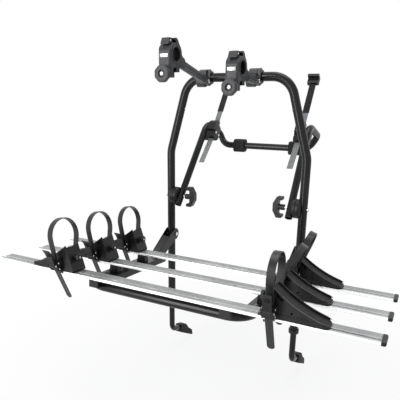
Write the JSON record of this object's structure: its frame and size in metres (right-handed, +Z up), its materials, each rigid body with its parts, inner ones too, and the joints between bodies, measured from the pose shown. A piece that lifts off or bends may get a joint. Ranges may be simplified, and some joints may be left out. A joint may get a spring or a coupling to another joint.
{
  "type": "trunk mounted bike rack",
  "caption": "Carrier that straps to a car boot lid: a bent tube hoop with a folding platform of wheel trays, wheel holders with ratchet straps, and arms with frame clamps.",
  "frame": {"origin": "middle of the plane of the main hoop, at the height where the undersides of the wheel trays meet that plane", "axes": "+X along the wheel trays to the right seen from behind the car, +Y towards the car, +Z up"},
  "size_m": [1.272, 1.041, 1.2975],
  "materials": {
    "black_paint": "gloss",
    "grey_paint": "satin",
    "tray_aluminium": "anodised satin",
    "zinc": "bright zinc",
    "black_plastic": "moulded satin",
    "grey_plastic": "moulded satin",
    "strap_plastic": "ribbed",
    "rubber": "matt",
    "webbing": "woven"
  },
  "bodies": {
    "main_frame": {"main_hoop": "black_paint", "leg_collars": "black_plastic", "leg_hubs": "black_plastic", "arm_brackets": "black_plastic", "frame_bolts": "zinc"},
    "platform": {"platform_gussets": "black_paint", "platform_hoop": "black_paint", "side_plates": "black_paint", "front_tray": "tray_aluminium", "middle_tray": "tray_aluminium", "back_tray": "tray_aluminium", "tray_end_caps": "black_plastic", "tray_supports": "black_plastic", "tray_bolts": "zinc"},
    "rear_frame": {"rear_frame": "black_paint", "rubber_pads": "rubber", "frame_hubs": "black_plastic", "strap_clamps": "black_plastic", "strap_clamp_bolts": "zinc", "strap_webbing": "webbing", "strap_sleeves": "rubber", "strap_hooks": "black_plastic"},
    "hook_rod_left": {"hook_rod_left": "black_paint", "hook_foot_left": "rubber"},
    "hook_rod_right": {"hook_rod_right": "black_paint", "hook_foot_right": "rubber"},
    "tee_knob_left": {"tee_knob_left": "black_plastic"},
    "tee_knob_right": {"tee_knob_right": "black_plastic"},
    "front_left_holder": {"front_left_holder": "black_plastic", "front_left_strap": "strap_plastic"},
    "front_left_lever": {"front_left_lever": "black_plastic"},
    "front_left_knob": {"front_left_knob": "black_plastic"},
    "middle_left_holder": {"middle_left_holder": "black_plastic", "middle_left_strap": "strap_plastic"},
    "middle_left_lever": {"middle_left_lever": "black_plastic"},
    "middle_left_knob": {"middle_left_knob": "black_plastic"},
    "back_left_holder": {"back_left_holder": "black_plastic", "back_left_strap": "strap_plastic"},
    "back_left_lever": {"back_left_lever": "black_plastic"},
    "back_left_knob": {"back_left_knob": "black_plastic"},
    "front_right_holder": {"front_right_holder": "black_plastic", "front_right_strap": "strap_plastic"},
    "front_right_lever": {"front_right_lever": "black_plastic"},
    "front_right_knob": {"front_right_knob": "black_plastic"},
    "middle_right_holder": {"middle_right_holder": "black_plastic", "middle_right_strap": "strap_plastic"},
    "middle_right_lever": {"middle_right_lever": "black_plastic"},
    "middle_right_knob": {"middle_right_knob": "black_plastic"},
    "back_right_holder": {"back_right_holder": "black_plastic", "back_right_strap": "strap_plastic"},
    "back_right_lever": {"back_right_lever": "black_plastic"},
    "back_right_knob": {"back_right_knob": "black_plastic"},
    "arm_left": {"arm_left": "grey_paint"},
    "clamp_left": {"clamp_rear_jaw_left": "black_plastic"},
    "clamp_left_front": {"clamp_front_jaw_left": "grey_plastic"},
    "clamp_left_knob": {"clamp_knob_left": "black_plastic"},
    "arm_right": {"arm_right": "grey_paint"},
    "clamp_right": {"clamp_rear_jaw_right": "black_plastic"},
    "clamp_right_front": {"clamp_front_jaw_right": "grey_plastic"},
    "clamp_right_knob": {"clamp_knob_right": "black_plastic"}
  },
  "joints": [
    {"name": "platform_fold", "type": "hinge", "parent": "main_frame", "child": "platform", "pos_m": [0, 0, 0.045], "axis": [-1, 0, 0], "range_deg": [0, 65]},
    {"name": "rear_frame_tilt", "type": "hinge", "parent": "main_frame", "child": "rear_frame", "pos_m": [0, 0, 0.213], "axis": [1, 0, 0], "range_deg": [-30, 25]},
    {"name": "hook_rod_left_slide", "type": "slide", "parent": "main_frame", "child": "hook_rod_left", "axis": [0, 0, -1], "range_m": [-0.05, 0.08]},
    {"name": "tee_knob_left_turn", "type": "hinge", "parent": "main_frame", "child": "tee_knob_left", "pos_m": [-0.19, 0, 0.213], "axis": [1, 0, 0], "continuous": true},
    {"name": "hook_rod_right_slide", "type": "slide", "parent": "main_frame", "child": "hook_rod_right", "axis": [0, 0, -1], "range_m": [-0.05, 0.08]},
    {"name": "tee_knob_right_turn", "type": "hinge", "parent": "main_frame", "child": "tee_knob_right", "pos_m": [0.19, 0, 0.213], "axis": [1, 0, 0], "continuous": true},
    {"name": "front_left_holder_slide", "type": "slide", "parent": "platform", "child": "front_left_holder", "axis": [-1, 0, 0], "range_m": [0, 0.14]},
    {"name": "front_left_lever_tip", "type": "hinge", "parent": "front_left_holder", "child": "front_left_lever", "pos_m": [-0.35509, -0.62927, 0.08307], "axis": [0.9986, -0.0522, 0.0042], "range_deg": [0, 55]},
    {"name": "front_left_knob_turn", "type": "hinge", "parent": "front_left_holder", "child": "front_left_knob", "pos_m": [-0.295, -0.56852, 0.10323], "axis": [1, 0, 0], "continuous": true},
    {"name": "middle_left_holder_slide", "type": "slide", "parent": "platform", "child": "middle_left_holder", "axis": [-1, 0, 0], "range_m": [0, 0.14]},
    {"name": "middle_left_lever_tip", "type": "hinge", "parent": "middle_left_holder", "child": "middle_left_lever", "pos_m": [-0.34709, -0.45544, 0.06899], "axis": [0.9986, -0.0522, 0.0042], "range_deg": [0, 55]},
    {"name": "middle_left_knob_turn", "type": "hinge", "parent": "middle_left_holder", "child": "middle_left_knob", "pos_m": [-0.287, -0.39469, 0.08915], "axis": [1, 0, 0], "continuous": true},
    {"name": "back_left_holder_slide", "type": "slide", "parent": "platform", "child": "back_left_holder", "axis": [-1, 0, 0], "range_m": [0, 0.14]},
    {"name": "back_left_lever_tip", "type": "hinge", "parent": "back_left_holder", "child": "back_left_lever", "pos_m": [-0.33909, -0.28161, 0.05491], "axis": [0.9986, -0.0522, 0.0042], "range_deg": [0, 55]},
    {"name": "back_left_knob_turn", "type": "hinge", "parent": "back_left_holder", "child": "back_left_knob", "pos_m": [-0.279, -0.22086, 0.07507], "axis": [1, 0, 0], "continuous": true},
    {"name": "front_right_holder_slide", "type": "slide", "parent": "platform", "child": "front_right_holder", "axis": [1, 0, 0], "range_m": [0, 0.11]},
    {"name": "front_right_lever_tip", "type": "hinge", "parent": "front_right_holder", "child": "front_right_lever", "pos_m": [0.36309, -0.62927, 0.08307], "axis": [0.9986, 0.0522, -0.0042], "range_deg": [0, 55]},
    {"name": "front_right_knob_turn", "type": "hinge", "parent": "front_right_holder", "child": "front_right_knob", "pos_m": [0.33, -0.56852, 0.10323], "axis": [1, 0, 0], "continuous": true},
    {"name": "middle_right_holder_slide", "type": "slide", "parent": "platform", "child": "middle_right_holder", "axis": [1, 0, 0], "range_m": [0, 0.14]},
    {"name": "middle_right_lever_tip", "type": "hinge", "parent": "middle_right_holder", "child": "middle_right_lever", "pos_m": [0.33209, -0.45544, 0.06899], "axis": [0.9986, 0.0522, -0.0042], "range_deg": [0, 55]},
    {"name": "middle_right_knob_turn", "type": "hinge", "parent": "middle_right_holder", "child": "middle_right_knob", "pos_m": [0.299, -0.39469, 0.08915], "axis": [1, 0, 0], "continuous": true},
    {"name": "back_right_holder_slide", "type": "slide", "parent": "platform", "child": "back_right_holder", "axis": [1, 0, 0], "range_m": [0, 0.14]},
    {"name": "back_right_lever_tip", "type": "hinge", "parent": "back_right_holder", "child": "back_right_lever", "pos_m": [0.33209, -0.28161, 0.05491], "axis": [0.9986, 0.0522, -0.0042], "range_deg": [0, 55]},
    {"name": "back_right_knob_turn", "type": "hinge", "parent": "back_right_holder", "child": "back_right_knob", "pos_m": [0.299, -0.22086, 0.07507], "axis": [1, 0, 0], "continuous": true},
    {"name": "arm_left_tilt", "type": "hinge", "parent": "main_frame", "child": "arm_left", "pos_m": [-0.106, -0.031, 0.661], "axis": [-1, 0, 0], "range_deg": [-40, 75]},
    {"name": "clamp_left_swivel", "type": "hinge", "parent": "arm_left", "child": "clamp_left", "pos_m": [-0.106, -0.238, 0.71], "axis": [-1, 0, 0], "range_deg": [-30, 30]},
    {"name": "clamp_left_jaw", "type": "hinge", "parent": "clamp_left", "child": "clamp_left_front", "pos_m": [-0.1155, -0.282, 0.777], "axis": [-1, 0, 0], "range_deg": [0, 60]},
    {"name": "clamp_left_knob_turn", "type": "hinge", "parent": "clamp_left_front", "child": "clamp_left_knob", "pos_m": [-0.1155, -0.329, 0.673], "axis": [0, 1, 0], "continuous": true},
    {"name": "arm_right_tilt", "type": "hinge", "parent": "main_frame", "child": "arm_right", "pos_m": [0.0926, -0.038, 0.66], "axis": [-1, 0, 0], "range_deg": [-40, 75]},
    {"name": "clamp_right_swivel", "type": "hinge", "parent": "arm_right", "child": "clamp_right", "pos_m": [0.0926, -0.164, 0.67], "axis": [-1, 0, 0], "range_deg": [-30, 30]},
    {"name": "clamp_right_jaw", "type": "hinge", "parent": "clamp_right", "child": "clamp_right_front", "pos_m": [0.0831, -0.208, 0.737], "axis": [-1, 0, 0], "range_deg": [0, 60]},
    {"name": "clamp_right_knob_turn", "type": "hinge", "parent": "clamp_right_front", "child": "clamp_right_knob", "pos_m": [0.0831, -0.255, 0.633], "axis": [0, 1, 0], "continuous": true}
  ]
}
